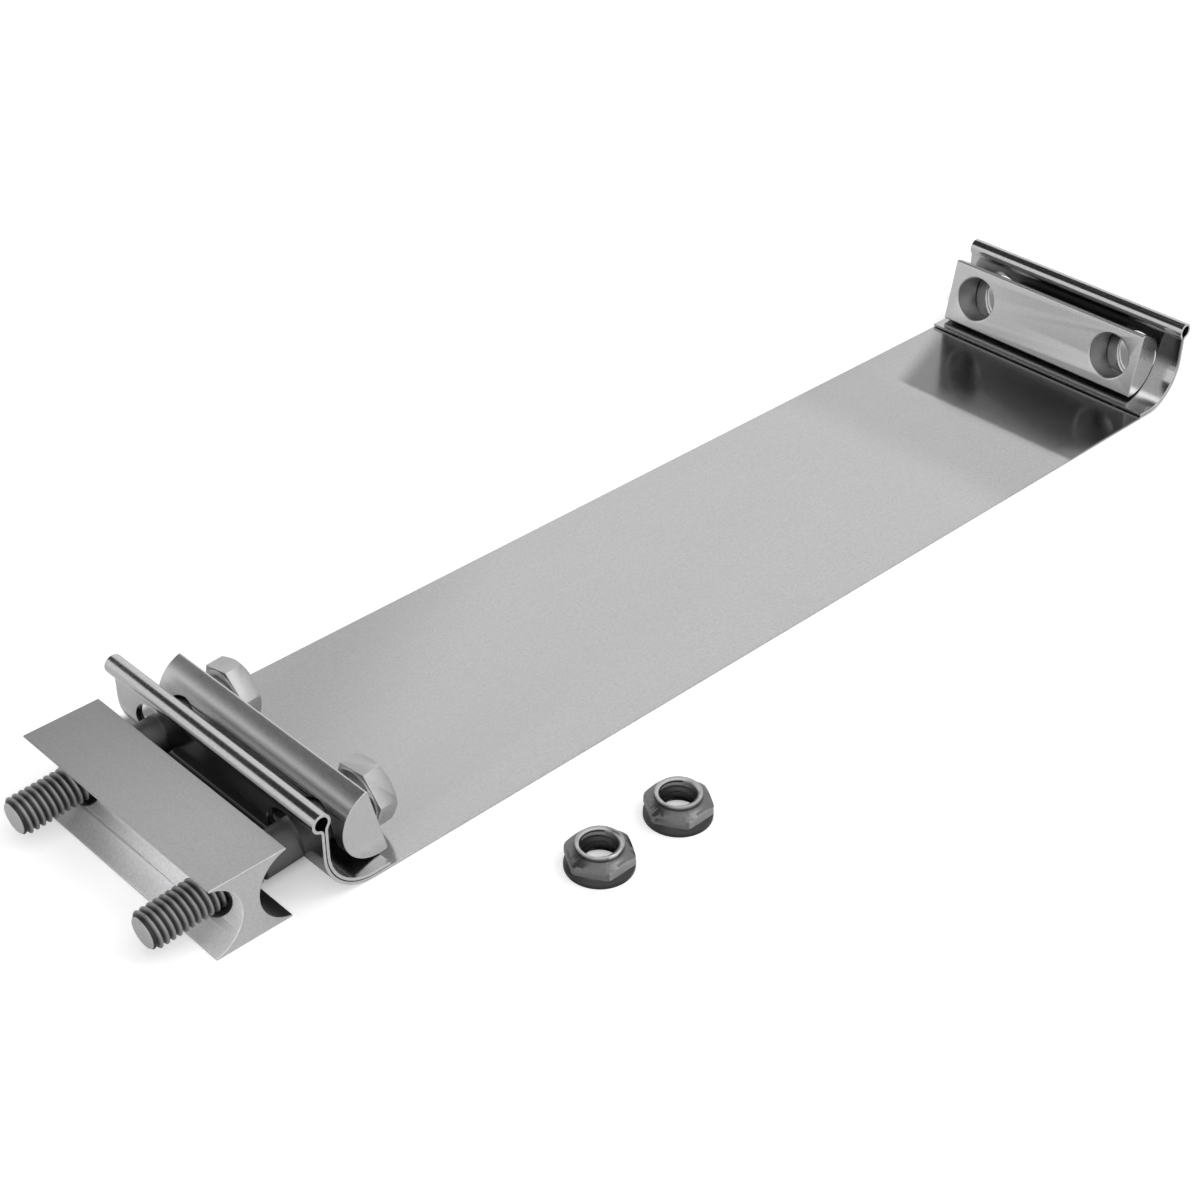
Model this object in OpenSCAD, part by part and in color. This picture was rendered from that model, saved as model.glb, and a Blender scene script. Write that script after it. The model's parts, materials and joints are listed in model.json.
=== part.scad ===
// Flat band clamp for an exhaust lap joint, opened out as it is before fitting.
// X runs along the band, Y across it, Z up. The origin is the middle of the band's underside.

/* [Pipe and band] */
// Outside diameter of the pipe that the band goes round
pipe_d = 101.6; // [76:0.1:130]
// Gap left between the two end walls when the band is closed round the pipe
closing_gap = 7.8; // [4:0.1:20]
// Width of the band
band_w = 76.2; // [74:0.1:100]
// Thickness of the sheet
sheet_t = 0.75; // [0.6:0.05:0.9]
// Gap between the two layers of the folded ends
fold_gap = 0.2; // [0.15:0.05:0.3]
// Outer radius of the bend where each end turns up
bend_r = 13; // [12.8:0.1:14]
// How far the inner layer reaches back along the band from the wall's outer face
lip_reach = 17.2; // [15:0.1:24]

/* [Rolled hems] */
// Outer radius of the rolled eye along the top of each wall
hem_r = 2.4; // [2.2:0.1:2.6]
// Distance from the wall's outer face in to the middle of the eye
hem_in = 0.2; // [0:0.1:0.4]
// Height of the middle of the eye
hem_z = 22.4; // [22.2:0.1:25]
// Radius of the corner between the eye and the wall's outer face
neck_out_r = 0.7; // [0.5:0.1:1.1]
// Radius of the corner between the eye and the wall's inner face
neck_in_r = 2; // [1.5:0.1:3]

/* [Spot welds] */
// Diameter of a spot weld
weld_d = 3.2; // [2:0.1:4]
// Number of spot welds across the band at each lip
weld_count = 4; // [2:1:6]
// Distance from the lip's edge to the middle of a weld
weld_inset = 2.1; // [2:0.1:4]

/* [Bolt holes] */
// Distance from the band's edge to the middle of a bolt hole
bolt_inset = 13.7; // [13.1:0.1:16]
// Diameter of the clearance holes in walls, bars and spline block
hole_d = 12.9; // [12.6:0.1:13.4]
// Height of the holes in the end walls
wall_hole_z = 11.1; // [11:0.05:11.4]

/* [Half-round bars] */
// Radius of the half-round section
bar_r = 9.525; // [9:0.025:9.8]
// How far the bars end short of the band's edges
bar_inset = 4.1; // [3:0.1:6]
// Rounding of the section's two corners
bar_corner_r = 0.6; // [0.3:0.1:1.2]
// Chamfer round the mouth of each bolt hole
bar_hole_chamfer = 0.4; // [0.2:0.05:0.8]
// Gap between a bar and the band that it rests on
bar_seat_gap = 0.22; // [0.1:0.02:0.4]
// Lean of the far bar, back against its wall
far_bar_lean = 10.7; // [6:0.1:14]
// Place of the far bar across the band
far_bar_y = 3.2; // [-3.2:0.1:3.2]
// Angle round the bend at which the far bar touches, from straight out
far_bar_seat_angle = -35; // [-60:1:-20]
// Lean of the clamp-end bar, back towards its wall
clamp_bar_lean = 14; // [8:0.5:15]
// Gap from the clamp-end bar's round side to the inner face of its wall
clamp_bar_gap = 6; // [5:0.1:8]

/* [Spline block] */
// Width of the spline block between its tips
spline_w = 19.4; // [17:0.1:20]
// Height of the spline block
spline_h = 19.05; // [18.6:0.05:19.2]
// How far the spline block ends short of the band's edges
spline_inset = 3.6; // [3:0.1:6]
// Radius of the two long grooves
groove_r = 9.2; // [8.5:0.05:9.2]
// Thickness of the web between the grooves
web_t = 4.4; // [3:0.1:6]
// Gap from the block's tips to the wall's outer face
spline_gap = 7.3; // [5:0.05:10]
// Place of the spline block across the band
spline_y = -1.1; // [-1.2:0.1:0]

/* [Bolts] */
// Outer diameter of the bolt thread
bolt_d = 9.525; // [9:0.025:9.9]
// Length of a bolt under its head
bolt_len = 56; // [50:0.1:70]
// Width of the bolt head across its flats
head_af = 14.29; // [13:0.01:14.5]
// Height of the bolt head
head_h = 5.75; // [5:0.05:7]
// Height of the washer face under the head
washer_face_h = 0.4; // [0.2:0.05:0.6]
// Chamfer at the threaded end
bolt_chamfer = 1.1; // [0.5:0.1:1.5]
// Angle by which the loose bolts hang down towards their threaded ends
bolt_droop = 4; // [3.6:0.1:4.4]
// Turn of the front bolt about its own axis, from two flats level
front_bolt_turn = -8; // [-30:1:30]
// Turn of the rear bolt about its own axis
rear_bolt_turn = -14; // [-30:1:30]
// Gap under the bolts where they lie in the wall's holes
bolt_seat_gap = 0.35; // [0.3:0.01:0.45]
// Gap between the bolt heads and the flat of the clamp-end bar
head_gap = 0.3; // [0.1:0.05:1]
// Place of the bolts and the clamp-end bar across the band
stack_y = -0.6; // [-1.2:0.1:1.2]

/* [Flange nuts] */
// Width of the nut across its flats
nut_af = 14.29; // [13.8:0.01:14.6]
// Diameter that the hexagon's corners are rounded to
nut_corner_d = 15.9; // [15:0.1:16.4]
// Height of the nut
nut_h = 6.5; // [6.4:0.1:8.5]
// Diameter of the flange
flange_d = 15.8; // [15:0.1:18]
// Height of the flange's straight edge
flange_h = 0.9; // [0.7:0.1:1.4]
// Height at which the hexagon starts, above the flange's slope
nut_hex_z = 2.2; // [2:0.1:2.6]
// Diameter at the top of the flange's slope
slope_top_d = 13.6; // [13:0.1:14.2]
// Diameter at which the nut's chamfer meets the collar
nut_face_d = 11.4; // [11.1:0.1:12.5]
// Slope of the nut's chamfer, measured from the axis
nut_chamfer_angle = 57; // [50:1:65]
// Outer diameter of the collar on top
collar_d = 10.8; // [10.6:0.1:11]
// Height of the collar above the hexagon
collar_h = 1; // [0.8:0.1:1.6]
// Bore of the nut, at the middle of its thread
nut_bore_d = 8.5; // [8:0.1:9]
// Diameter of the coned mouths at both ends of the nut's bore
nut_mouth_d = 9.6; // [9.5:0.1:9.9]
// Depth of the coned mouths
nut_mouth_h = 0.6; // [0.4:0.1:0.8]
// Distance of the nuts from the band's front edge
nut_setback = 30.2; // [20:0.1:60]
// Distance of the first nut from the clamp-end wall, along the band
nut_from_wall = 50.6; // [20:0.1:200]
// Distance between the two nuts
nut_spacing = 24.3; // [20:0.1:60]

/* [Hidden] */
$fn = 96;

// A little more than any edge, so that cuts run clean through
over = 1;
// Overlap that makes a neck's bend cross the eye at a clean corner
neck_bite = 0.02;
// Slope of the bolt head's chamfer, measured from the axis
head_chamfer_angle = 60;
// Share of the width across flats that the flat end of a head keeps
head_face_share = 0.95;

bolt_spacing = band_w - 2 * bolt_inset;
bar_len = band_w - 2 * bar_inset;
spline_len = band_w - 2 * spline_inset;

fold_t = 2 * sheet_t + fold_gap;
half_girth = (PI * (pipe_d + sheet_t) - closing_gap) / 2;
wall_x = round(half_girth * 100) / 100;
bend_in_r = bend_r - fold_t;
bend_x = wall_x - bend_r;

// Necks of the rolled eye: each bend touches the wall's face, and bites a little into the eye
neck_out = [
    neck_out_r,
    hem_z - sqrt((neck_out_r + hem_r - neck_bite) ^ 2 - (neck_out_r + hem_in) ^ 2)
];
neck_in = [
    -fold_t - neck_in_r,
    hem_z - sqrt((neck_in_r + hem_r - neck_bite) ^ 2 - (fold_t + neck_in_r - hem_in) ^ 2)
];

// Far bar: its round side lies in the bend at the seat angle
far_reach = bend_in_r - bar_r - bar_seat_gap;
far_bar_x = bend_x + far_reach * cos(far_bar_seat_angle);
far_bar_z = bend_r + far_reach * sin(far_bar_seat_angle);

// Clamp-end bar: the middle of its flat
clamp_bar_x = -wall_x + fold_t + clamp_bar_gap + bar_r;
clamp_bar_z = fold_t + bar_r + bar_seat_gap;

// Spline block: the middle of its web
spline_x = -wall_x - spline_gap - spline_w / 2;
groove_x = groove_r + web_t / 2;

// The bolts' axis passes the wall just above the bottom of its holes
bolt_wall_x = -wall_x + fold_t / 2;
bolt_wall_z = wall_hole_z - (hole_d - bolt_d) / 2 + bolt_seat_gap;

// The head's lower edge stands head_gap away from the leaning flat of the bar
head_edge_z = bolt_wall_z + (clamp_bar_x - bolt_wall_x) * tan(bolt_droop) - head_af / 2;
flat_x = clamp_bar_x + (clamp_bar_z - head_edge_z) * tan(clamp_bar_lean);
head_x = flat_x + head_gap - head_af / 2 * sin(bolt_droop);
head_z = bolt_wall_z + (head_x - bolt_wall_x) * tan(bolt_droop);

head_face_d = head_face_share * head_af;

nut_y = -band_w / 2 - nut_setback;
nut_left_x = -wall_x + nut_from_wall;

// Profiles are drawn in X and Z and stretched across the band
module across(length) {
    rotate([90, 0, 0])
        linear_extrude(length, center = true)
            children();
}

module along_x(from) {
    translate([from, 0, 0])
        rotate([0, 90, 0])
            children();
}

// The space inside the turned-up band, up to the middle of the eyes, with its floor and walls
// moved in by inset
module tray_profile(inset) {
    intersection() {
        translate([-wall_x, 0])
            square([2 * wall_x, hem_z]);
        union() {
            translate([-bend_x, inset])
                square([2 * bend_x, hem_z]);
            translate([-wall_x + inset, bend_r])
                square([2 * (wall_x - inset), hem_z]);
            for (side = [-1, 1])
                translate([side * bend_x, bend_r])
                    circle(bend_r - inset);
        }
    }
}

// Rounded corner where a neck leaves the wall for the eye, from the wall's middle at wall_mid
module neck_fillet(centre, r, wall_mid) {
    difference() {
        polygon([[wall_mid, centre.y], centre, [-hem_in, hem_z]]);
        translate(centre) circle(r);
    }
}

// Rolled eye with its two necks, with the wall's outer face at x = 0
module hem_outline() {
    translate([-hem_in, hem_z]) circle(hem_r);
    neck_fillet(neck_out, neck_out_r, -sheet_t / 2);
    neck_fillet(neck_in, neck_in_r, -fold_t + sheet_t / 2);
}

// Hollow of the eye, and the throat between its necks where the two layers come together
module hem_hollow() {
    eye = [-hem_in, hem_z];
    translate(eye) circle(hem_r - sheet_t);
    difference() {
        polygon([
            [-sheet_t, neck_out.y], toward(eye, neck_out, hem_r - sheet_t), eye,
            toward(eye, neck_in, hem_r - sheet_t), [-sheet_t - fold_gap, neck_in.y],
            [-sheet_t - fold_gap, neck_out.y]
        ]);
        translate(neck_out) circle(neck_out_r + sheet_t);
        translate(neck_in) circle(neck_in_r + sheet_t);
    }
}

function toward(from, to, distance) = from + distance * (to - from) / norm(to - from);

module both_ends() {
    translate([wall_x, 0]) children();
    mirror([1, 0]) translate([wall_x, 0]) children();
}

// One sheet: flat between the lips, folded double round the bends and up the walls
module band_profile() {
    lip_x = wall_x - lip_reach;
    difference() {
        union() {
            tray_profile(0);
            both_ends() hem_outline();
        }
        difference() {
            tray_profile(fold_t);
            both_ends() hem_outline();
        }
        difference() {
            tray_profile(sheet_t);
            tray_profile(sheet_t + fold_gap);
        }
        translate([-lip_x, sheet_t])
            square([2 * lip_x, bend_r]);
        both_ends() hem_hollow();
    }
}

module spot_welds() {
    weld_x = wall_x - lip_reach + weld_inset;
    for (side = [-1, 1], i = [0 : weld_count - 1])
        translate([side * weld_x, ((i + 0.5) / weld_count - 0.5) * band_w, sheet_t / 2])
            cylinder(h = fold_gap + sheet_t, d = weld_d);
}

module bolt_holes(length) {
    for (side = [-1, 1])
        translate([0, side * bolt_spacing / 2, 0])
            rotate([0, 90, 0])
                cylinder(h = length, d = hole_d, center = true);
}

module band() {
    color("silver")
        difference() {
            union() {
                across(band_w) band_profile();
                spot_welds();
            }
            for (side = [-1, 1])
                translate([side * wall_x, 0, wall_hole_z])
                    bolt_holes(2 * bend_r);
        }
}

// Half-round section with the middle of its flat at the origin and its round side towards +X
module half_round_profile() {
    corner_z = sqrt((bar_r - bar_corner_r) ^ 2 - bar_corner_r ^ 2);
    tangent = bar_r / (bar_r - bar_corner_r) * [bar_corner_r, corner_z];
    difference() {
        circle(bar_r);
        translate([-2 * bar_r, -bar_r - over])
            square([2 * bar_r, 2 * (bar_r + over)]);
        for (side = [-1, 1])
            polygon([
                [-over, side * corner_z], [0, side * corner_z], [tangent.x, side * tangent.y],
                [tangent.x, side * (bar_r + over)], [-over, side * (bar_r + over)]
            ]);
    }
    for (side = [-1, 1])
        translate([bar_corner_r, side * corner_z])
            circle(bar_corner_r);
}

module half_round_bar() {
    difference() {
        across(bar_len) half_round_profile();
        translate([bar_r / 2, 0, 0])
            bolt_holes(bar_r + 2 * over);
        for (side = [-1, 1])
            translate([0, side * bolt_spacing / 2, 0])
                along_x(-over)
                    cylinder(
                        h = over + bar_hole_chamfer,
                        d1 = hole_d + 2 * (over + bar_hole_chamfer),
                        d2 = hole_d
                    );
    }
}

module far_end_bar() {
    color("lightgray")
        translate([far_bar_x, far_bar_y, far_bar_z])
            rotate([0, far_bar_lean, 0])
                half_round_bar();
}

module clamp_end_bar() {
    color("lightgray")
        translate([clamp_bar_x, stack_y, clamp_bar_z])
            rotate([0, -clamp_bar_lean, 0])
                mirror([1, 0, 0])
                    half_round_bar();
}

module spline_profile() {
    difference() {
        square([spline_w, spline_h], center = true);
        for (side = [-1, 1])
            translate([side * groove_x, 0])
                circle(groove_r);
    }
}

module spline_block() {
    color("gainsboro")
        translate([spline_x, spline_y, spline_h / 2])
            difference() {
                across(spline_len) spline_profile();
                bolt_holes(spline_w + 2 * over);
            }
}

// Hexagonal prism with two flats level once it lies along X, its end face chamfered round
module chamfered_hex(af, height, face_d, chamfer_angle) {
    intersection() {
        rotate([0, 0, 30])
            cylinder(h = height, d = af / cos(30), $fn = 6);
        cylinder(h = height, d1 = face_d + 2 * height * tan(chamfer_angle), d2 = face_d);
    }
}

// Bolt along X: the underside of its head at the origin, its threaded end towards -X
module hex_bolt() {
    along_x(washer_face_h)
        chamfered_hex(head_af, head_h - washer_face_h, head_face_d, head_chamfer_angle);
    along_x(0)
        cylinder(h = washer_face_h, d = head_face_d);
    along_x(-bolt_len + bolt_chamfer)
        cylinder(h = bolt_len - bolt_chamfer, d = bolt_d);
    along_x(-bolt_len)
        cylinder(h = bolt_chamfer, d1 = bolt_d - 2 * bolt_chamfer, d2 = bolt_d);
}

module placed_bolt(side, turn) {
    color("lightgray")
        translate([head_x, stack_y + side * bolt_spacing / 2, head_z])
            rotate([0, -bolt_droop, 0])
                rotate([turn, 0, 0])
                    hex_bolt();
}

module bolt_front() {
    placed_bolt(-1, front_bolt_turn);
}

module bolt_rear() {
    placed_bolt(1, rear_bolt_turn);
}

// Cone that opens the lower end of the nut's bore
module nut_mouth() {
    widening = (nut_mouth_d - nut_bore_d) / nut_mouth_h;
    translate([0, 0, -over])
        cylinder(
            h = over + nut_mouth_h, d1 = nut_mouth_d + over * widening, d2 = nut_bore_d
        );
}

module flange_nut() {
    hex_top = nut_h - collar_h;
    difference() {
        union() {
            cylinder(h = flange_h, d = flange_d);
            translate([0, 0, flange_h])
                cylinder(h = nut_hex_z - flange_h, d1 = flange_d, d2 = slope_top_d);
            intersection() {
                translate([0, 0, nut_hex_z])
                    rotate([0, 0, 30])
                        chamfered_hex(nut_af, hex_top - nut_hex_z, nut_face_d, nut_chamfer_angle);
                cylinder(h = nut_h, d = nut_corner_d);
            }
            translate([0, 0, nut_hex_z])
                cylinder(h = nut_h - nut_hex_z, d = collar_d);
        }
        translate([0, 0, -over])
            cylinder(h = nut_h + 2 * over, d = nut_bore_d);
        nut_mouth();
        translate([0, 0, nut_h])
            mirror([0, 0, 1])
                nut_mouth();
    }
}

module flange_nut_left() {
    color("darkgray")
        translate([nut_left_x, nut_y, 0])
            flange_nut();
}

module flange_nut_right() {
    color("darkgray")
        translate([nut_left_x + nut_spacing, nut_y, 0])
            flange_nut();
}

band();
clamp_end_bar();
far_end_bar();
spline_block();
bolt_front();
bolt_rear();
flange_nut_left();
flange_nut_right();
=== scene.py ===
"""Finish, threads and light for the opened-out band clamp of an exhaust lap joint."""
import json
import math

import bmesh
import bpy
from mathutils import Matrix, Vector


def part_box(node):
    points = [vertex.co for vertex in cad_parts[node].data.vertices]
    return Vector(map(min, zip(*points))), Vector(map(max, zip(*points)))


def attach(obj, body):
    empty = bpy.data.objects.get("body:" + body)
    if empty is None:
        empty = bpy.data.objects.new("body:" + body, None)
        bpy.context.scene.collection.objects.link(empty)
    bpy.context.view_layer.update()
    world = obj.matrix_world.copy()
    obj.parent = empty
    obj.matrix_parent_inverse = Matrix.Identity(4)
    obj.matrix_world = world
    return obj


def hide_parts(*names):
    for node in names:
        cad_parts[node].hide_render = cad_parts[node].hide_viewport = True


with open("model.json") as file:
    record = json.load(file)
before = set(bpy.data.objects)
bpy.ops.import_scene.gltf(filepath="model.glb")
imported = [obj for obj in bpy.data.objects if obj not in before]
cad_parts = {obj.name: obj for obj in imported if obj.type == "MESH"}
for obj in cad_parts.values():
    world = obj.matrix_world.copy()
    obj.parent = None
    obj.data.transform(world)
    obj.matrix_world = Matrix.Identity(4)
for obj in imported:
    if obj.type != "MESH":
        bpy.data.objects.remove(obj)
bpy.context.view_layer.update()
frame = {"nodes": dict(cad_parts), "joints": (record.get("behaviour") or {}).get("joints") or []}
NODES = frame["nodes"]
# Lengths are in millimetres, and MM turns them into the scene's metres
MM = 0.001
ACROSS = math.radians(90)

# Faces that meet at less than FLAT_ANGLE are one face, edges over EDGE_ANGLE are rounded, and
# shading breaks over SHARP_ANGLE; corners closer than WELD_DIST are one corner
FLAT_ANGLE = math.radians(0.6)
EDGE_ANGLE = math.radians(28)
SHARP_ANGLE = math.radians(32)
WELD_DIST = 0.002
# The sheet: half its width, and how far its far lip and its walls' outer faces are from its middle
BAND_HALF_W = 38.1
LIP_X = 139.67
WALL_X = 156.87
# The clearance holes and their spacing, the bars and the block
HOLE_R = 6.45
BOLT_SPACING = 48.8
BAR_R = 9.525
GROOVE_R = 9.2
WEB_T = 4.4
# The bolts: CUT_Z is where the solid's head is taken from its shank, with Z = 0 under the head
HEAD_H = 5.75
CUT_Z = -0.6
BOLT_LEN = 56.0
THREAD_LEN = 29.5
TIP_CHAMFER = 1.1
RUNOUT = 1.6
# The nuts: NUT_HEX_Z is where the hexagon begins above the flange
NUT_AF = 14.29
NUT_H = 6.5
NUT_HEX_Z = 2.2
NUT_BORE_R = 4.25
NUT_MOUTH = 0.6
# The thread, 16 to the inch on 9.525 mm
PITCH = 1.5875
CREST_R = 4.7
ROOT_R = 3.9
NUT_CREST_R = 4.02
NUT_ROOT_R = 4.66
STEPS_A_TURN = 48
# Shares of a pitch: root flat, flank, crest flat, flank
THREAD_SHARES = (0.25, 0.3125, 0.125, 0.3125)


def put(name, bm, material, body, node):
    """Make a piece of the mesh, which rides with its body and replaces its node's solid."""
    mesh = bpy.data.meshes.new(name)
    bm.to_mesh(mesh)
    bm.free()
    mesh.shade_smooth()
    mesh.set_sharp_from_angle(angle=SHARP_ANGLE)
    mesh.materials.append(material)
    piece = bpy.data.objects.new(name, mesh)
    bpy.context.scene.collection.objects.link(piece)
    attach(piece, body)
    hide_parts(node)
    return piece


def solid_copy(node, place=None):
    """A merged copy of a solid's mesh, flat faces whole, in a place's frame if one is given."""
    bm = bmesh.new()
    bm.from_mesh(NODES[node].data)
    bmesh.ops.remove_doubles(bm, verts=bm.verts, dist=WELD_DIST * MM)
    bmesh.ops.dissolve_limit(bm, angle_limit=FLAT_ANGLE, verts=bm.verts, edges=bm.edges)
    if place is not None:
        bmesh.ops.transform(bm, matrix=place.inverted(), verts=bm.verts)
    return bm


def add_mesh(bm, other):
    """Move a second mesh into the first."""
    moved = bpy.data.meshes.new("moved")
    other.to_mesh(moved)
    other.free()
    bm.from_mesh(moved)
    bpy.data.meshes.remove(moved)


def ease_edges(piece, width):
    """Round a piece's edges a little, as tumbling does."""
    bevel = piece.modifiers.new("eased_edges", "BEVEL")
    bevel.width = width * MM
    bevel.segments = 2
    bevel.limit_method = "ANGLE"
    bevel.angle_limit = EDGE_ANGLE
    bevel.use_clamp_overlap = False
    bevel.harden_normals = True
    bevel.miter_outer = "MITER_ARC"


def cut_level(bm, z, **side):
    """Cut a mesh at a height, and clear one side of the cut."""
    bmesh.ops.bisect_plane(
        bm, geom=bm.verts[:] + bm.edges[:] + bm.faces[:], dist=1e-4,
        plane_co=(0, 0, z), plane_no=(0, 0, 1), **side,
    )


def rim_at(bm, z, reach=0.05):
    """The open rim that lies at a height."""
    rims = (e for e in bm.edges if e.is_boundary)
    return [e for e in rims if all(abs(v.co.z - z) < reach for v in e.verts)]


def wind_thread(bm, root, crest, low, high):
    """Wind one thread round Z between two heights, and leave both its rims open."""
    radii = (root, root, crest, crest, root)
    z = low - PITCH
    corners = []
    for radius, share in zip(radii, (0,) + THREAD_SHARES):
        z += share * PITCH
        corners.append(bm.verts.new((radius, 0, z)))
    edges = [bm.edges.new(pair) for pair in zip(corners, corners[1:])]
    turns = math.ceil((high - low) / PITCH) + 2
    bmesh.ops.spin(
        bm, geom=corners + edges, cent=(0, 0, 0), axis=(0, 0, 1),
        dvec=(0, 0, PITCH / STEPS_A_TURN), angle=2 * math.pi * turns,
        steps=STEPS_A_TURN * turns, use_merge=False,
    )
    bmesh.ops.remove_doubles(bm, verts=bm.verts, dist=WELD_DIST)
    cut_level(bm, low, clear_inner=True)
    cut_level(bm, high, clear_outer=True)


def limit_radius(bm, limits):
    """Hold each corner's distance from Z between limits(z) = (least, most)."""
    for v in bm.verts:
        least, most = limits(v.co.z)
        radius = math.hypot(v.co.x, v.co.y)
        v.co.xy = v.co.xy * (min(max(radius, least), most) / radius)


def math_node(nodes, links, operation, a, b, clamp=False):
    node = nodes.new("ShaderNodeMath")
    node.operation = operation
    node.use_clamp = clamp
    for socket, value in zip(node.inputs, (a, b)):
        if isinstance(value, (int, float)):
            socket.default_value = value
        else:
            links.new(value, socket)
    return node.outputs[0]


def shader_group(name, given, kind, results):
    """An empty group with its sockets: what it is given, of one kind, and its results."""
    group = bpy.data.node_groups.new(name, "ShaderNodeTree")
    for socket in given:
        group.interface.new_socket(socket, in_out="INPUT", socket_type=kind)
    for socket in results:
        group.interface.new_socket(socket, in_out="OUTPUT", socket_type="NodeSocketFloat")
    return group


def steel_skin():
    """Grain, roll marks and cloudy patches of worked steel."""
    clouds_a_metre = 38.0
    streaks_a_metre = (14, 1600, 1600)
    grain_rough, cloud_rough, streak_height = 0.12, 0.08, 0.6
    group = shader_group(
        "steel_skin",
        ("Grain Size", "Grain Tone", "Streak Tone", "Cloud Tone", "Roughness", "Streak Turn"),
        "NodeSocketFloat", ("Tone", "Roughness", "Height"),
    )
    nodes, links = group.nodes, group.links
    given = nodes.new("NodeGroupInput").outputs
    out = nodes.new("NodeGroupOutput").inputs
    where = nodes.new("ShaderNodeTexCoord").outputs["Object"]

    def noise(vector, scale, detail, rough=0.5):
        node = nodes.new("ShaderNodeTexNoise")
        node.inputs["Detail"].default_value = detail
        node.inputs["Roughness"].default_value = rough
        links.new(vector, node.inputs["Vector"])
        if isinstance(scale, (int, float)):
            node.inputs["Scale"].default_value = scale
        else:
            links.new(scale, node.inputs["Scale"])
        return math_node(nodes, links, "SUBTRACT", node.outputs["Fac"], 0.5)

    fineness = math_node(nodes, links, "DIVIDE", 1.0, given["Grain Size"])
    grain = noise(where, fineness, 2.0, 0.6)
    cloud = noise(where, clouds_a_metre, 3.0)
    turn = nodes.new("ShaderNodeVectorRotate")
    turn.rotation_type = "Z_AXIS"
    links.new(where, turn.inputs["Vector"])
    links.new(given["Streak Turn"], turn.inputs["Angle"])
    stretch = nodes.new("ShaderNodeMapping")
    stretch.inputs["Scale"].default_value = streaks_a_metre
    links.new(turn.outputs[0], stretch.inputs["Vector"])
    streak = noise(stretch.outputs[0], 1.0, 3.0, 0.6)
    tone = 1.0
    for part, share in (
        (grain, "Grain Tone"), (streak, "Streak Tone"), (cloud, "Cloud Tone")
    ):
        scaled = math_node(nodes, links, "MULTIPLY", part, given[share])
        tone = math_node(nodes, links, "ADD", scaled, tone)
    links.new(tone, out["Tone"])
    rough = math_node(nodes, links, "MULTIPLY", grain, grain_rough)
    rough = math_node(nodes, links, "ADD", rough, given["Roughness"])
    cloudy = math_node(nodes, links, "MULTIPLY", cloud, cloud_rough)
    links.new(math_node(nodes, links, "ADD", rough, cloudy, True), out["Roughness"])
    marks = math_node(nodes, links, "MULTIPLY", streak, streak_height)
    links.new(math_node(nodes, links, "ADD", grain, marks), out["Height"])
    return group


def axis_distance():
    """Distance from an axis, and the height along it, in metres."""
    group = shader_group(
        "axis_distance", ("Middle", "Axis"), "NodeSocketVector", ("Distance", "Height")
    )
    nodes, links = group.nodes, group.links
    given = nodes.new("NodeGroupInput").outputs
    out = nodes.new("NodeGroupOutput").inputs

    def vector_node(operation, *vectors):
        node = nodes.new("ShaderNodeVectorMath")
        node.operation = operation
        for vector, socket in zip(vectors, node.inputs):
            links.new(vector, socket)
        return node.outputs

    where = nodes.new("ShaderNodeTexCoord").outputs["Object"]
    away = vector_node("SUBTRACT", where, given["Middle"])["Vector"]
    across = vector_node("CROSS_PRODUCT", away, given["Axis"])["Vector"]
    links.new(vector_node("DOT_PRODUCT", away, given["Axis"])["Value"], out["Height"])
    links.new(vector_node("LENGTH", across)["Value"], out["Distance"])
    return group


SKIN = steel_skin()
AXIS_DISTANCE = axis_distance()


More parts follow.
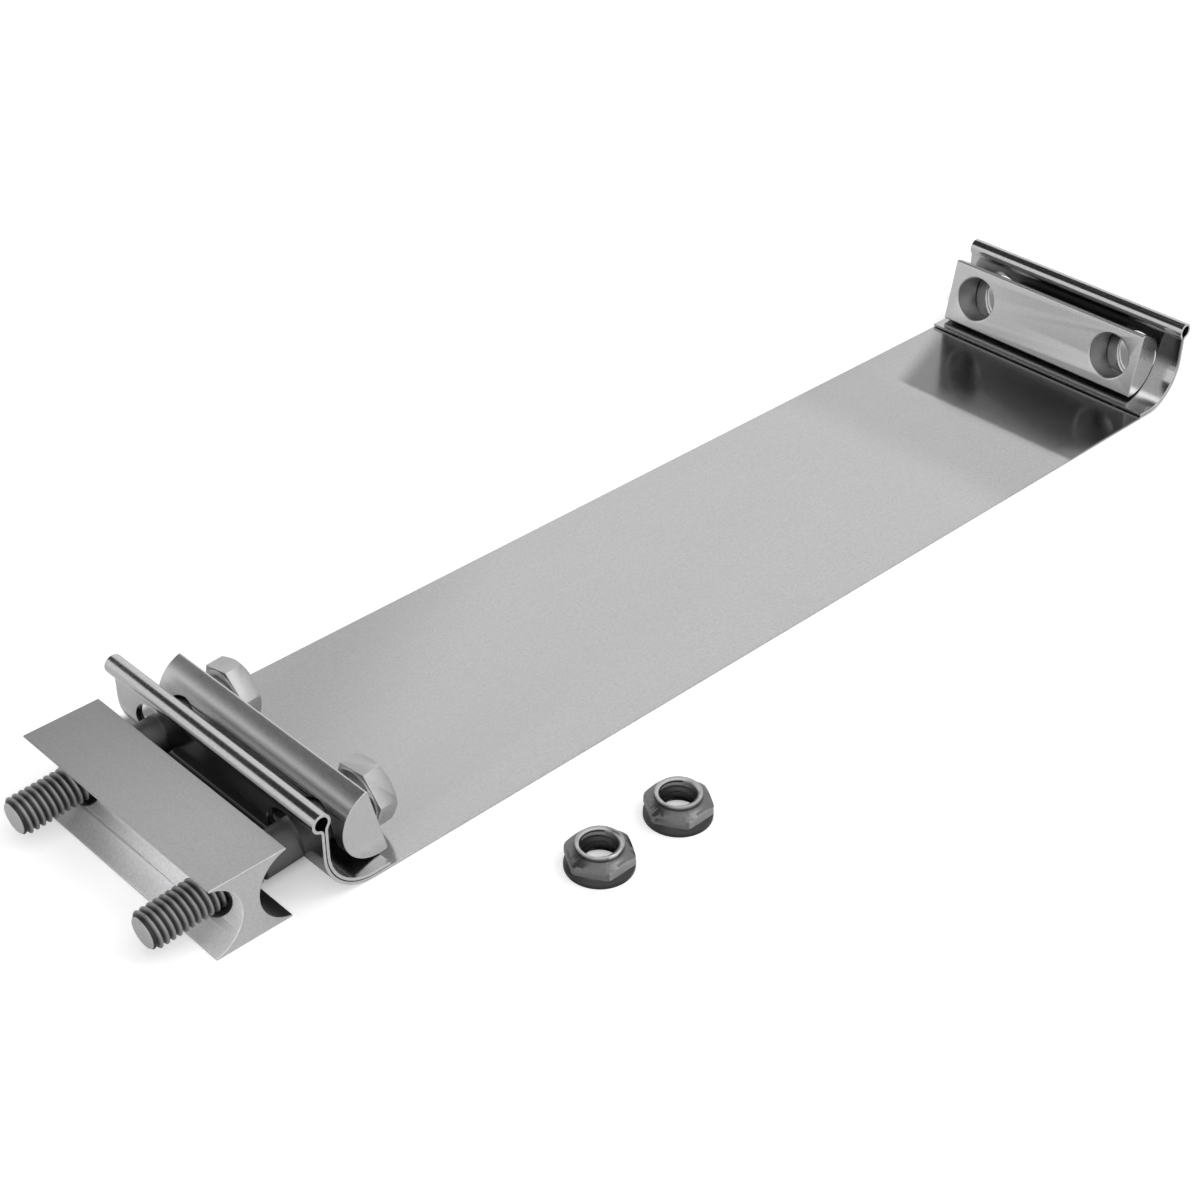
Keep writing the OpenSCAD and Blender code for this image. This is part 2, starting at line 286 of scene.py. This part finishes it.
class Touch:
    """Places on a piece whose tone or roughness differs, some its own and some painted light and
    shade; sizes in millimetres.
    """

    def __init__(self, material):
        self.nodes, self.links = material.node_tree.nodes, material.node_tree.links
        self.shader = self.nodes["Principled BSDF"]

    def ramp(self, value, start, end):
        """A mask that grows from 0 at start to 1 at end."""
        node = self.nodes.new("ShaderNodeMapRange")
        node.interpolation_type = "SMOOTHSTEP"
        node.inputs["From Min"].default_value = min(start, end) * MM
        node.inputs["From Max"].default_value = max(start, end) * MM
        node.inputs["To Min"].default_value = float(start > end)
        node.inputs["To Max"].default_value = float(start < end)
        self.links.new(value, node.inputs["Value"])
        return node.outputs["Result"]

    def within(self, value, edges):
        """A mask that is 1 between the two inner edges and 0 past the outer ones."""
        low, low_full, high_full, high = edges
        return self.both(self.ramp(value, low, low_full), self.ramp(value, high, high_full))

    def both(self, a, b):
        return math_node(self.nodes, self.links, "MULTIPLY", a, b)

    def either(self, a, b):
        return math_node(self.nodes, self.links, "MAXIMUM", a, b)

    def less(self, a, b):
        return math_node(self.nodes, self.links, "SUBTRACT", a, b)

    def place(self):
        """The three coordinates of a place."""
        split = self.nodes.new("ShaderNodeSeparateXYZ")
        where = self.nodes.new("ShaderNodeTexCoord").outputs["Object"]
        self.links.new(where, split.inputs[0])
        return split.outputs

    def axis(self, middle, axis):
        """Distance from an axis and height along it."""
        node = self.nodes.new("ShaderNodeGroup")
        node.node_tree = AXIS_DISTANCE
        node.inputs["Middle"].default_value = middle
        node.inputs["Axis"].default_value = axis
        return node.outputs["Distance"], node.outputs["Height"]

    def finish_or_paint_light(self, mask, tone, rough=None):
        """Scale the tone where the mask is 1, and set the roughness there."""
        color = self.shader.inputs["Base Color"]
        change = math_node(self.nodes, self.links, "ADD", self.both(mask, tone - 1), 1.0)
        scaled = self.nodes.new("ShaderNodeMix")
        scaled.data_type = "RGBA"
        scaled.blend_type = "MULTIPLY"
        scaled.inputs["Factor"].default_value = 1.0
        self.links.new(color.links[0].from_socket, scaled.inputs["A"])
        self.links.new(change, scaled.inputs["B"])
        self.links.new(scaled.outputs["Result"], color)
        if rough is not None:
            roughness = self.shader.inputs["Roughness"]
            mix = self.nodes.new("ShaderNodeMix")
            self.links.new(mask, mix.inputs["Factor"])
            self.links.new(roughness.links[0].from_socket, mix.inputs["A"])
            mix.inputs["B"].default_value = rough
            self.links.new(mix.outputs["Result"], roughness)


def steel(name, color, rough, grain, streak=0.06, turn=0.0, relief=0.1):
    """Bare or plated steel with its grain."""
    grain_size, grain_height = 0.6 * MM, 0.05 * MM
    cloud_tone = 0.08
    material = bpy.data.materials.new(name)
    material.use_nodes = True
    nodes, links = material.node_tree.nodes, material.node_tree.links
    shader = nodes["Principled BSDF"]
    shader.inputs["Metallic"].default_value = 1.0
    skin = nodes.new("ShaderNodeGroup")
    skin.node_tree = SKIN
    for socket, value in (
        ("Grain Size", grain_size), ("Grain Tone", grain), ("Streak Tone", streak),
        ("Cloud Tone", cloud_tone), ("Roughness", rough), ("Streak Turn", turn),
    ):
        skin.inputs[socket].default_value = value
    tint = nodes.new("ShaderNodeMix")
    tint.data_type = "RGBA"
    tint.blend_type = "MULTIPLY"
    tint.inputs["Factor"].default_value = 1.0
    tint.inputs["A"].default_value = (*color, 1)
    links.new(skin.outputs["Tone"], tint.inputs["B"])
    links.new(tint.outputs["Result"], shader.inputs["Base Color"])
    links.new(skin.outputs["Roughness"], shader.inputs["Roughness"])
    bump = nodes.new("ShaderNodeBump")
    bump.inputs["Strength"].default_value = relief
    bump.inputs["Distance"].default_value = grain_height
    links.new(skin.outputs["Height"], bump.inputs["Height"])
    links.new(bump.outputs["Normal"], shader.inputs["Normal"])
    return material


def bow_and_shadow_far_end(material):
    """The sheet droops a little before the far lip, and has a painted shadow of the bar in a strip
    before it.
    """
    normal_lean = 0.062
    bow_start, bow_full, strip_start = 99, 106, 104.5
    strip_slant = 0.36
    touch = Touch(material)
    nodes, links = touch.nodes, touch.links
    place = touch.place()
    top = touch.both(
        touch.ramp(place["X"], LIP_X + 0.03, LIP_X - 0.27), touch.ramp(place["Z"], 0.3, 0.6)
    )
    slant = touch.less(place["Y"], touch.both(place["X"], strip_slant))
    strip = touch.ramp(place["X"], strip_start, strip_start + 2)
    painted_shade = touch.both(strip, touch.ramp(slant, -12, -19))
    # Painted shadow of the far bar on the strip before the lip
    touch.finish_or_paint_light(touch.both(top, painted_shade), tone=0.45)
    bowed = touch.both(touch.ramp(place["X"], bow_start, bow_full), top)
    lean = nodes.new("ShaderNodeCombineXYZ")
    links.new(touch.both(bowed, normal_lean), lean.inputs["X"])
    total = nodes.new("ShaderNodeVectorMath")
    links.new(nodes.new("ShaderNodeNewGeometry").outputs["Normal"], total.inputs[0])
    links.new(lean.outputs["Vector"], total.inputs[1])
    unit = nodes.new("ShaderNodeVectorMath")
    unit.operation = "NORMALIZE"
    links.new(total.outputs["Vector"], unit.inputs[0])
    bump = touch.shader.inputs["Normal"].links[0].from_node
    links.new(unit.outputs["Vector"], bump.inputs["Normal"])


def paint_reflections_at_sheet_ends(material):
    """Painted reflection of the bars: the flat sheet is a little darker towards both its ends."""
    near_slant = 1.7
    touch = Touch(material)
    place = touch.place()
    slant = touch.less(place["X"], touch.both(place["Y"], near_slant))
    near = touch.both(touch.ramp(slant, -90, -165), touch.ramp(place["X"], -142, -138))
    far = touch.within(place["X"], (66, 84, LIP_X - 0.27, LIP_X + 0.03))
    touch.finish_or_paint_light(near, tone=0.77)
    touch.finish_or_paint_light(far, tone=0.88)


def rough_cut_edges_with_painted_light(material):
    """Sheared edges are rough, and painted lighter to hide the shade they reflect from the floor.
    """
    touch = Touch(material)
    across = math_node(touch.nodes, touch.links, "ABSOLUTE", touch.place()["Y"], 0.0)
    edge = touch.ramp(across, BAND_HALF_W - 0.1, BAND_HALF_W - 0.02)
    # Painted light on the sheared edges, with a real rougher finish
    touch.finish_or_paint_light(edge, tone=1.15, rough=0.45)


def shade_far_wall(material):
    """Painted shade on the inner face of the far wall: dark under its hem, towards the front."""
    touch = Touch(material)
    place = touch.place()
    inside = touch.within(
        place["X"], (WALL_X - 6.87, WALL_X - 5.87, WALL_X - 1.47, WALL_X - 0.87)
    )
    rise = touch.within(place["Z"], (9, 14, 20, 21))
    painted_shade = touch.both(touch.both(inside, rise), touch.ramp(place["Y"], 34, 12))
    # Painted shade in the crevice under the hem
    touch.finish_or_paint_light(painted_shade, tone=0.25)


def band_sheet():
    material = steel("satin_band_sheet", (0.52, 0.52, 0.52), rough=0.17, grain=0.4)
    bow_and_shadow_far_end(material)
    paint_reflections_at_sheet_ends(material)
    rough_cut_edges_with_painted_light(material)
    shade_far_wall(material)
    return material


def drawn_bar(name, node, lean):
    """Drawn bar whose drilled bores are rougher and painted darker as shade; a lean above 0 has
    the round side towards +X.
    """
    material = steel(
        name, (0.59, 0.59, 0.59), rough=0.30, grain=0.25, streak=0.02, turn=ACROSS, relief=0.02
    )
    touch = Touch(material)
    low, high = (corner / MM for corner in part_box(node))
    flat_x = high.x - BAR_R if lean > 0 else low.x + BAR_R
    lean = math.radians(lean)
    axis = (math.cos(lean), 0, -math.sin(lean))
    bores = []
    for side in (-1, 1):
        y = (low.y + high.y + side * BOLT_SPACING) / 2
        distance, _ = touch.axis(Vector((flat_x, y, low.z + BAR_R)) * MM, axis)
        bores.append(touch.ramp(distance, HOLE_R + 0.25, HOLE_R + 0.05))
    # Drilled bores: a real rougher finish, and painted shade inside the holes
    touch.finish_or_paint_light(touch.either(*bores), tone=0.5, rough=0.5)
    return material


def extruded_block():
    """Block steel, with painted light in the outer groove and painted shade in the inner one and
    towards the rear.
    """
    material = steel(
        "extruded_block_steel", (0.60, 0.60, 0.605), rough=0.38, grain=0.35, turn=ACROSS
    )
    touch = Touch(material)
    middle = sum(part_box("spline_block"), Vector()) / 2
    # Outer groove: painted light and a rougher finish; inner groove: painted shade
    for side, tone, rough in ((-1, 1.6, 0.65), (1, 0.4, 0.4)):
        groove = middle + Vector((side * (GROOVE_R + WEB_T / 2) * MM, 0, 0))
        distance, _ = touch.axis(groove, (0, 1, 0))
        touch.finish_or_paint_light(touch.ramp(distance, GROOVE_R + 0.15, GROOVE_R + 0.02), tone, rough)
    # Painted shade: darker towards the rear
    touch.finish_or_paint_light(touch.ramp(touch.place()["Y"], -30, 45), tone=0.58)
    return material


def zinc_nut():
    """Dark plate, with painted shade on a nut's flange and painted highlights on its collar's rim
    and front flat.
    """
    material = steel("dark_zinc_nut", (0.17, 0.17, 0.17), rough=0.34, grain=0.3, streak=0.02)
    touch = Touch(material)
    place = touch.place()
    height = place["Z"]
    low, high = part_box("flange_nut_left")
    flat_y = (low.y + high.y) / 2 / MM - NUT_AF / 2
    # Painted shade on the flange under the hexagon
    touch.finish_or_paint_light(touch.ramp(height, NUT_HEX_Z + 0.1, NUT_HEX_Z - 0.5), tone=0.35)
    # Painted highlight on the collar's rim
    touch.finish_or_paint_light(touch.ramp(height, NUT_H - 0.6, NUT_H - 0.15), tone=3.2)
    # Painted highlight on the front flat, lit from one side
    painted_highlight_flat = touch.both(
        touch.ramp(place["Y"], flat_y + 0.245, flat_y + 0.045),
        touch.ramp(height, NUT_HEX_Z - 0.1, NUT_HEX_Z + 0.2),
    )
    touch.finish_or_paint_light(painted_highlight_flat, tone=1.9)
    return material


def zinc_bolt(name, origin, axis):
    """Plate of a bolt: its shank is dark, with painted shade above the thread and in its roots."""
    material = steel(name + "_plate", (0.54, 0.54, 0.54), rough=0.5, grain=0.25, streak=0.02)
    thread_end = THREAD_LEN - BOLT_LEN
    touch = Touch(material)
    distance, height = touch.axis(origin, axis)
    shank = touch.within(height, (0.1 - BOLT_LEN, 0.3 - BOLT_LEN, -3, -1))
    painted_root_shade = touch.both(shank, touch.ramp(distance, CREST_R, ROOT_R))
    painted_shank_shade = touch.both(shank, touch.ramp(height, thread_end - 2.5, thread_end - 0.5))
    # Painted shade in the thread's roots and on the plain shank above the thread
    touch.finish_or_paint_light(painted_root_shade, tone=0.15)
    touch.finish_or_paint_light(shank, tone=0.65)
    touch.finish_or_paint_light(painted_shank_shade, tone=0.4)
    return material


def joint_axis(name):
    found = next(j for j in frame["joints"] if j["name"] == name)
    return Vector(found["axis"]).normalized()


def bolt_place(node, axis):
    """Frame of a bolt in millimetres: Z towards its head, the origin under the head."""
    side = Vector((0, 1, 0))
    up = axis.cross(side)
    spans = []
    for direction in (side, up, axis):
        reach = [v.co.dot(direction) for v in NODES[node].data.vertices]
        spans.append((min(reach), max(reach)))
    middle = side * sum(spans[0]) / 2 + up * sum(spans[1]) / 2
    origin = middle + axis * (spans[2][1] - HEAD_H * MM)
    turned = Matrix((side, up, axis)).transposed().to_4x4()
    return Matrix.Translation(origin) @ turned @ Matrix.Scale(MM, 4)


def hex_bolt(name):
    """Head of the solid, with a shank and a wound thread of its own."""
    axis = joint_axis(name + "_slide")
    place = bolt_place(name, axis)
    material = zinc_bolt(name, place.translation, axis)
    head = solid_copy(name, place)
    cut_level(head, CUT_Z, clear_inner=True)
    tip = -BOLT_LEN
    thread_end = tip + THREAD_LEN

    def thread_limits(z):
        fade = min(max((z - thread_end + RUNOUT) / RUNOUT, 0), 1)
        chamfer = CREST_R - TIP_CHAMFER + (z - tip)
        return ROOT_R + (CREST_R - ROOT_R) * fade, min(CREST_R, chamfer)

    bm = bmesh.new()
    wind_thread(bm, ROOT_R, CREST_R, tip, thread_end)
    limit_radius(bm, thread_limits)
    bmesh.ops.contextual_create(bm, geom=rim_at(bm, tip))
    add_mesh(bm, head)
    bmesh.ops.bridge_loops(bm, edges=rim_at(bm, thread_end) + rim_at(bm, CUT_Z))
    bmesh.ops.recalc_face_normals(bm, faces=bm.faces)
    bmesh.ops.transform(bm, matrix=place, verts=bm.verts)
    put(name + "_threaded", bm, material, name, name)


def flange_nut(name, material):
    """Body of the solid, with a thread wound between its bore's two coned mouths."""
    low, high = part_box(name)
    place = Matrix.Translation(((low.x + high.x) / 2, (low.y + high.y) / 2, 0))
    place = place @ Matrix.Scale(MM, 4)
    bm = solid_copy(name, place)
    bore = [
        f for f in bm.faces
        if all(math.hypot(v.co.x, v.co.y) < NUT_BORE_R + 0.05 for v in f.verts)
    ]
    bmesh.ops.delete(bm, geom=bore, context="FACES")
    thread_low, thread_high = NUT_MOUTH, NUT_H - NUT_MOUTH
    thread = bmesh.new()
    wind_thread(thread, NUT_ROOT_R, NUT_CREST_R, thread_low, thread_high)
    add_mesh(bm, thread)
    for height in (thread_low, thread_high):
        bmesh.ops.bridge_loops(bm, edges=rim_at(bm, height))
    bmesh.ops.recalc_face_normals(bm, faces=bm.faces)
    bmesh.ops.transform(bm, matrix=place, verts=bm.verts)
    put(name + "_threaded", bm, material, "band", name)


def pale_floor():
    """White floor, shaded under the block, beside the near bend and behind the far wall."""
    floor_tone, shade_tone = (0.88, 0.88, 0.88, 1), (0.1, 0.1, 0.1, 1)
    camera_lift = 0.4
    half_size, drop = 3.0, 0.05 * MM
    bm = bmesh.new()
    bmesh.ops.create_grid(bm, x_segments=1, y_segments=1, size=half_size)
    mesh = bpy.data.meshes.new("floor")
    bm.to_mesh(mesh)
    bm.free()
    floor = bpy.data.objects.new("floor", mesh)
    bpy.context.scene.collection.objects.link(floor)
    floor.location.z = -drop
    material = bpy.data.materials.new("pale_floor")
    material.use_nodes = True
    nodes, links = material.node_tree.nodes, material.node_tree.links
    shader = nodes["Principled BSDF"]
    touch = Touch(material)
    place = touch.place()

    def shade(x_edges, y_edges, depth):
        """A soft patch of shade on the floor; depth is a share of the full shade."""
        along = touch.within(place["X"], x_edges)
        across = touch.within(place["Y"], y_edges)
        return touch.both(touch.both(along, across), depth)

    under_block = shade((-183, -179, -152, -148), (-26, -18, 27, 33), 1.0)
    behind_wall = shade((156, 160, 171, 184), (-30, -14, 42, 52), 0.85)
    beside_bend = shade((-158, -154, -142, -137), (35, 38, 44, 48), 0.85)
    deep = touch.either(touch.either(behind_wall, beside_bend), under_block)
    tint = nodes.new("ShaderNodeMix")
    tint.data_type = "RGBA"
    tint.inputs["A"].default_value = floor_tone
    tint.inputs["B"].default_value = shade_tone
    links.new(deep, tint.inputs["Factor"])
    links.new(tint.outputs["Result"], shader.inputs["Base Color"])
    shader.inputs["Roughness"].default_value = 0.9
    shader.inputs["Specular IOR Level"].default_value = 0.0
    rays = nodes.new("ShaderNodeLightPath").outputs
    lift = touch.both(rays["Is Camera Ray"], camera_lift)
    lift = touch.both(lift, touch.less(1.0, deep))
    shader.inputs["Emission Color"].default_value = (1, 1, 1, 1)
    links.new(lift, shader.inputs["Emission Strength"])
    mesh.materials.append(material)


def softbox(name, towards, distance, size, radiance):
    """Square area lamp that faces the clamp's middle; its face has the radiance given."""
    direction = Vector(towards).normalized()
    lamp = bpy.data.lights.new(name, "AREA")
    lamp.size = size
    lamp.energy = radiance * math.pi * size ** 2
    box = bpy.data.objects.new(name, lamp)
    bpy.context.scene.collection.objects.link(box)
    box.location = direction * distance
    box.rotation_euler = direction.to_track_quat("Z", "Y").to_euler()


def studio_world(light, gap, edges):
    """White tent with a dark gap behind, between its wall and its roof.

    Each edge is a direction and the range of heights along it over which the gap begins.
    """
    world = bpy.data.worlds.new("studio")
    bpy.context.scene.world = world
    world.use_nodes = True
    nodes, links = world.node_tree.nodes, world.node_tree.links
    background = nodes["Background"]
    towards = nodes.new("ShaderNodeTexCoord").outputs["Generated"]
    within = gap - light
    for direction, low, high in edges:
        height = nodes.new("ShaderNodeVectorMath")
        height.operation = "DOT_PRODUCT"
        links.new(towards, height.inputs[0])
        height.inputs[1].default_value = direction
        ramp = nodes.new("ShaderNodeMapRange")
        ramp.interpolation_type = "SMOOTHSTEP"
        ramp.inputs["From Min"].default_value = low
        ramp.inputs["From Max"].default_value = high
        links.new(height.outputs["Value"], ramp.inputs["Value"])
        within = math_node(nodes, links, "MULTIPLY", ramp.outputs["Result"], within)
    level = math_node(nodes, links, "ADD", within, light)
    rays = nodes.new("ShaderNodeLightPath").outputs
    mix = nodes.new("ShaderNodeMix")
    mix.data_type = "RGBA"
    links.new(rays["Is Camera Ray"], mix.inputs["Factor"])
    links.new(level, mix.inputs["A"])
    mix.inputs["B"].default_value = (1, 1, 1, 1)
    links.new(mix.outputs["Result"], background.inputs["Color"])


def photo_camera():
    """Camera at the photo's viewing angle, looking down on the band from the front left."""
    azimuth, elevation, roll = (math.radians(angle) for angle in (-44.22, 35.05, 0.54))
    aim = Vector((-37.01, 3.475, 0))
    reach = 552.5
    camera = bpy.data.cameras.new("photo_camera")
    camera.sensor_width = 36
    camera.lens = 65.25
    camera.clip_start = 0.01
    holder = bpy.data.objects.new("photo_camera", camera)
    bpy.context.scene.collection.objects.link(holder)
    back = Vector((
        math.sin(azimuth) * math.cos(elevation),
        -math.cos(azimuth) * math.cos(elevation),
        math.sin(elevation),
    ))
    level = Vector((math.cos(azimuth), math.sin(azimuth), 0))
    rise = back.cross(level)
    right = level * math.cos(roll) + rise * math.sin(roll)
    up = rise * math.cos(roll) - level * math.sin(roll)
    place = Matrix((right, up, back)).transposed().to_4x4()
    place.translation = (aim + back * reach) * MM
    holder.matrix_world = place
    bpy.context.scene.camera = holder


for node, body, material, ease in (
    ("band", "band", band_sheet(), 0.12),
    ("far_end_bar", "band", drawn_bar("drawn_far_bar", "far_end_bar", 10.7), 0.25),
    ("clamp_end_bar", "clamp_bar", drawn_bar("drawn_clamp_bar", "clamp_end_bar", -14), 0.25),
    ("spline_block", "spline", extruded_block(), 0.18),
):
    ease_edges(put(node + "_eased", solid_copy(node), material, body, node), ease)
for node in ("bolt_front", "bolt_rear"):
    hex_bolt(node)
nut_plate = zinc_nut()
for node in ("flange_nut_left", "flange_nut_right"):
    flange_nut(node, nut_plate)

pale_floor()
# The dark gap lies over the tent's wall, under its roof and only at the back
gap_edges = (
    ((-0.14, 0, 1), 0.61, 0.67), ((0, 0, -1), -0.95, -0.91), ((0, 1, 0), 0.08, 0.20)
)
studio_world(light=1.0, gap=0.035, edges=gap_edges)
softbox("key_light", towards=(0.30, -0.42, 0.85), distance=1.6, size=0.6, radiance=2.5)
photo_camera()
bpy.context.scene.view_settings.view_transform = "Standard"
